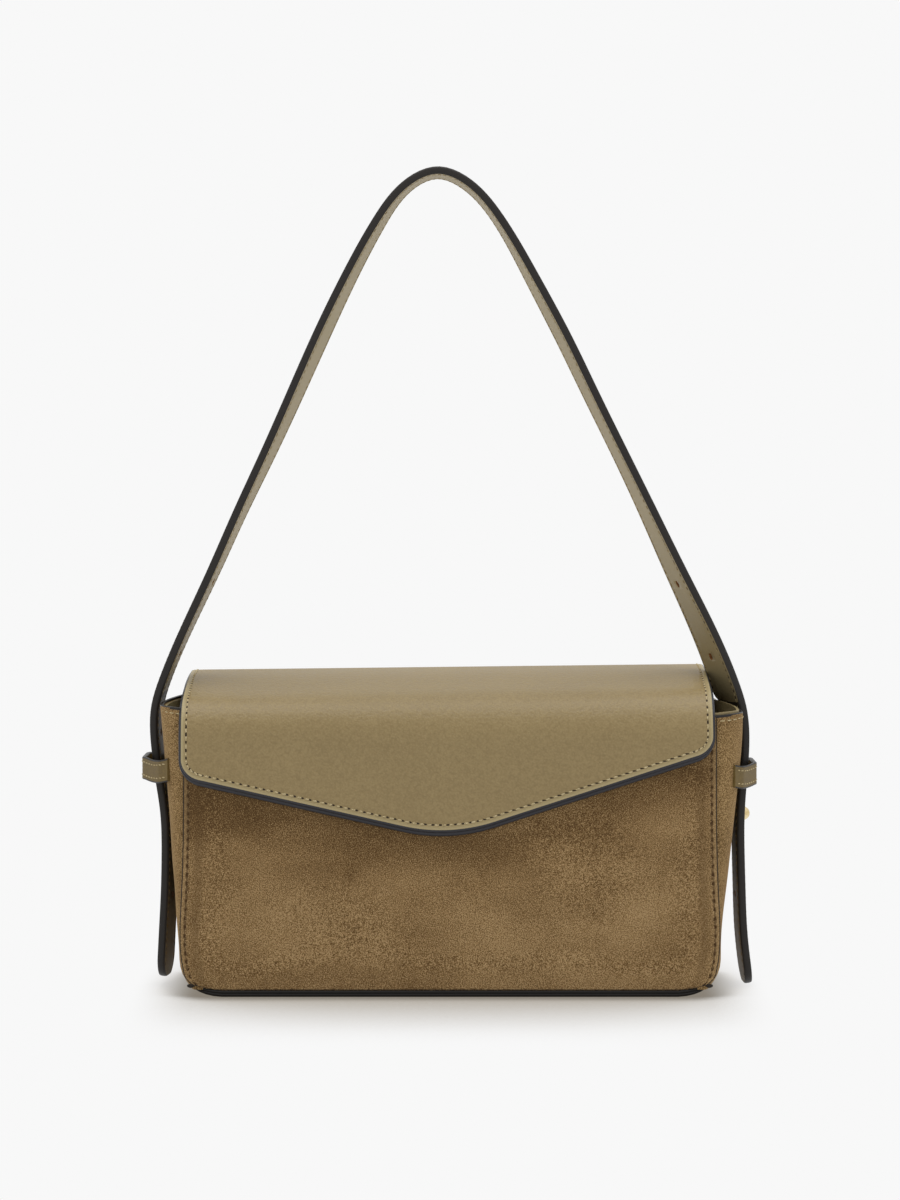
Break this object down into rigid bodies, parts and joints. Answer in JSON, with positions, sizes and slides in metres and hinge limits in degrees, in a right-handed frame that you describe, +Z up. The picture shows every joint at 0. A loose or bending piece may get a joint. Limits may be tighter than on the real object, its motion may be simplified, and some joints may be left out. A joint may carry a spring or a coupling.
{
  "type": "crossbody bag",
  "caption": "Structured crossbody bag with a bent leather flap on a magnetic snap, suede body, keepers and an adjustable leather strap.",
  "frame": {"origin": "on the floor under the middle of the bag's whole width and depth", "axes": "+X to the right as the front is seen, +Y from the front flap to the back, +Z up along the standing strap"},
  "size_m": [0.292, 0.082, 0.3901],
  "materials": {
    "suede": "brushed suede",
    "smooth_leather": "smooth semi-matt",
    "strap_leather": "smooth semi-matt with painted edges",
    "facing_leather": "smooth",
    "stiffener_board": "plain board",
    "lining_cloth": "woven cotton",
    "snap_metal": "plated",
    "brass": "polished",
    "painted_base": "edge paint over leather"
  },
  "bodies": {
    "bag": {"base_panel": "painted_base", "base_board": "stiffener_board", "front_panel": "suede", "back_panel": "suede", "front_board": "stiffener_board", "back_board": "stiffener_board", "front_facing": "facing_leather", "back_facing": "facing_leather", "lining": "lining_cloth", "slip_pocket": "lining_cloth", "snap_socket": "snap_metal", "snap_socket_plate": "snap_metal", "flap_anchor": "smooth_leather", "gusset_left": "suede", "gusset_facing_left": "facing_leather", "keeper_left": "strap_leather", "stud_left": "brass", "stud_screw_left": "brass", "strap_end_left": "strap_leather", "gusset_right": "suede", "gusset_facing_right": "facing_leather", "keeper_right": "strap_leather", "stud_right": "brass", "stud_screw_right": "brass", "strap_end_right": "strap_leather"},
    "flap": {"flap_leather": "smooth_leather", "flap_stiffener": "stiffener_board", "flap_lining": "facing_leather", "snap_stud": "snap_metal", "snap_stud_plate": "snap_metal"},
    "strap": {"strap_arch": "strap_leather", "strap_leg_left": "strap_leather", "strap_leg_right": "strap_leather"}
  },
  "joints": [
    {"name": "flap_hinge", "type": "hinge", "parent": "bag", "child": "flap", "pos_m": [0, 0.0395, 0.1355], "axis": [-1, 0, 0], "range_deg": [0, 110]},
    {"name": "strap_swing", "type": "hinge", "parent": "bag", "child": "strap", "pos_m": [0, 0.001, 0.159], "axis": [1, 0, 0], "range_deg": [-90, 90], "deforming": ["strap_leg_left", "strap_leg_right"]}
  ]
}
